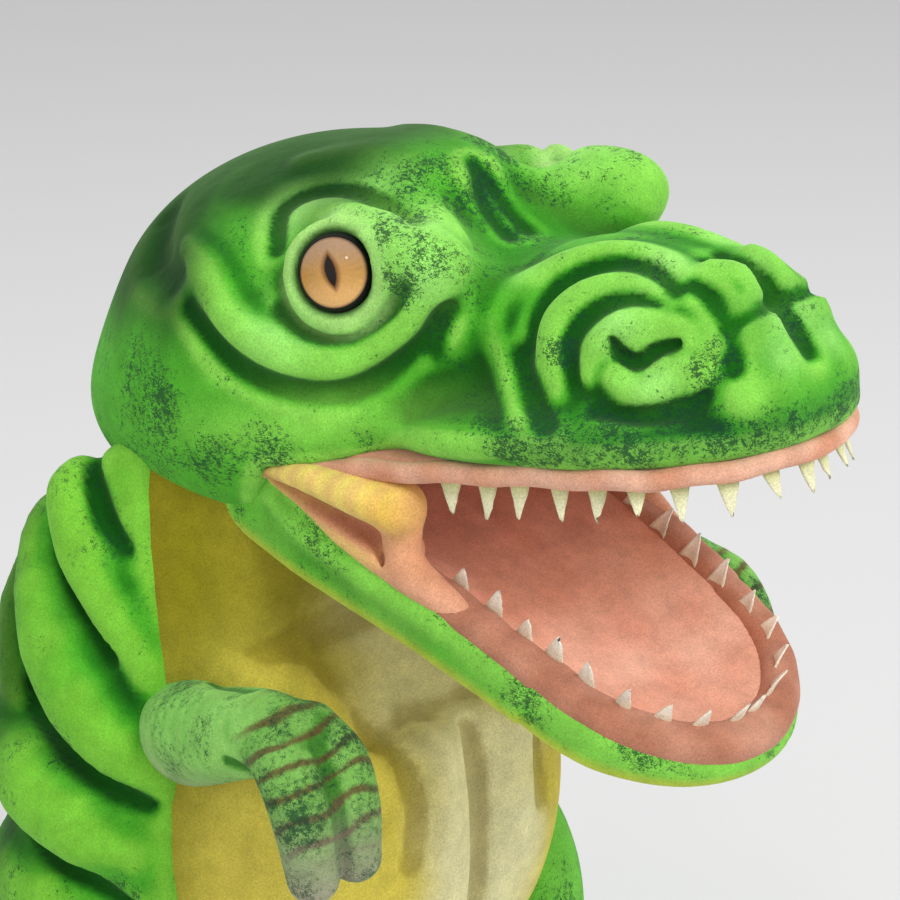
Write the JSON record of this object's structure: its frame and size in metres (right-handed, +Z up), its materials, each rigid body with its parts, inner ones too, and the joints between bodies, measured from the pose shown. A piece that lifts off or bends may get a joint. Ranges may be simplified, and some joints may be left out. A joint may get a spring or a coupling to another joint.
{
  "type": "stuffed dinosaur",
  "caption": "Upright two-legged plush dinosaur with a large open mouth, cut-felt teeth, glossy eyes, short arms, big thighs and a thick tail.",
  "frame": {"origin": "on the floor, under the centre of the bounding box", "axes": "+Z up; the toy faces -Y; its right side is -X"},
  "size_m": [0.2066, 0.4644, 0.3849],
  "materials": {
    "plush_green": "short-pile plush, airbrushed light and dark green with blackish speckles",
    "plush_yellow": "short-pile plush, airbrushed yellow at the sides, cream in the middle",
    "sole_cloth": "short-pile plush, plain",
    "mouth_lining": "smooth napped lining, airbrushed pink to reddish brown",
    "lip_cloth": "napped trim, pinkish beige",
    "tooth_felt": "thin felt, cut edges",
    "fibre": "loose polyester fibre",
    "foam": "soft open-cell foam",
    "stiff_board": "thin plastic sheet",
    "eye_black": "gloss black",
    "eye_amber": "painted, with a dark upright pupil",
    "eye_clear": "clear moulded plastic",
    "washer_plastic": "white plastic"
  },
  "bodies": {
    "torso": {"back_skin": "plush_green", "belly_panel": "plush_yellow", "torso_stuffing": "fibre", "right_leg_skin": "plush_green", "right_leg_stuffing": "fibre", "right_sole": "sole_cloth", "right_sole_board": "stiff_board", "left_leg_skin": "plush_green", "left_leg_stuffing": "fibre", "left_sole": "sole_cloth", "left_sole_board": "stiff_board"},
    "neck_base": {"neck_base_stuffing": "fibre"},
    "head": {"nape_skin": "plush_green", "throat_panel": "plush_yellow", "neck_stuffing": "fibre", "head_skin": "plush_green", "head_stuffing": "fibre", "palate_board": "stiff_board", "palate_lining": "mouth_lining", "upper_lip_trim": "lip_cloth", "upper_teeth": "tooth_felt", "right_eye_cup": "eye_black", "right_eye_iris": "eye_amber", "right_eye_lens": "eye_clear", "right_eye_washer": "washer_plastic", "left_eye_cup": "eye_black", "left_eye_iris": "eye_amber", "left_eye_lens": "eye_clear", "left_eye_washer": "washer_plastic", "right_cheek_gusset": "mouth_lining", "left_cheek_gusset": "mouth_lining", "throat_lining": "mouth_lining"},
    "jaw": {"jaw_skin": "plush_green", "chin_panel": "plush_yellow", "jaw_foam": "foam", "jaw_board": "stiff_board", "mouth_floor_lining": "mouth_lining", "lower_gum_roll": "mouth_lining", "lower_teeth": "tooth_felt"},
    "right_arm": {"right_arm_skin": "plush_green", "right_arm_stuffing": "fibre"},
    "left_arm": {"left_arm_skin": "plush_green", "left_arm_stuffing": "fibre"},
    "tail": {"tail_skin": "plush_green", "tail_stuffing": "fibre"}
  },
  "joints": [
    {"name": "neck_turn", "type": "hinge", "parent": "torso", "child": "neck_base", "pos_m": [0, -0.0279, 0.175], "axis": [0, 0, 1], "range_deg": [-20, 20]},
    {"name": "neck_nod", "type": "hinge", "parent": "neck_base", "child": "head", "pos_m": [0, -0.0279, 0.175], "axis": [1, 0, 0], "range_deg": [-10, 8]},
    {"name": "jaw_hinge", "type": "hinge", "parent": "head", "child": "jaw", "pos_m": [0, -0.0579, 0.295], "axis": [1, 0, 0], "range_deg": [-15, 8], "deforming": ["right_cheek_gusset", "left_cheek_gusset", "throat_lining"]},
    {"name": "right_shoulder", "type": "hinge", "parent": "torso", "child": "right_arm", "pos_m": [-0.074, -0.0329, 0.207], "axis": [1, 0, 0], "range_deg": [-25, 35]},
    {"name": "left_shoulder", "type": "hinge", "parent": "torso", "child": "left_arm", "pos_m": [0.074, -0.0329, 0.207], "axis": [1, 0, 0], "range_deg": [-25, 35]},
    {"name": "tail_swing", "type": "hinge", "parent": "torso", "child": "tail", "pos_m": [0, -0.0279, 0.1], "axis": [0, 0, 1], "range_deg": [-10, 10]}
  ]
}
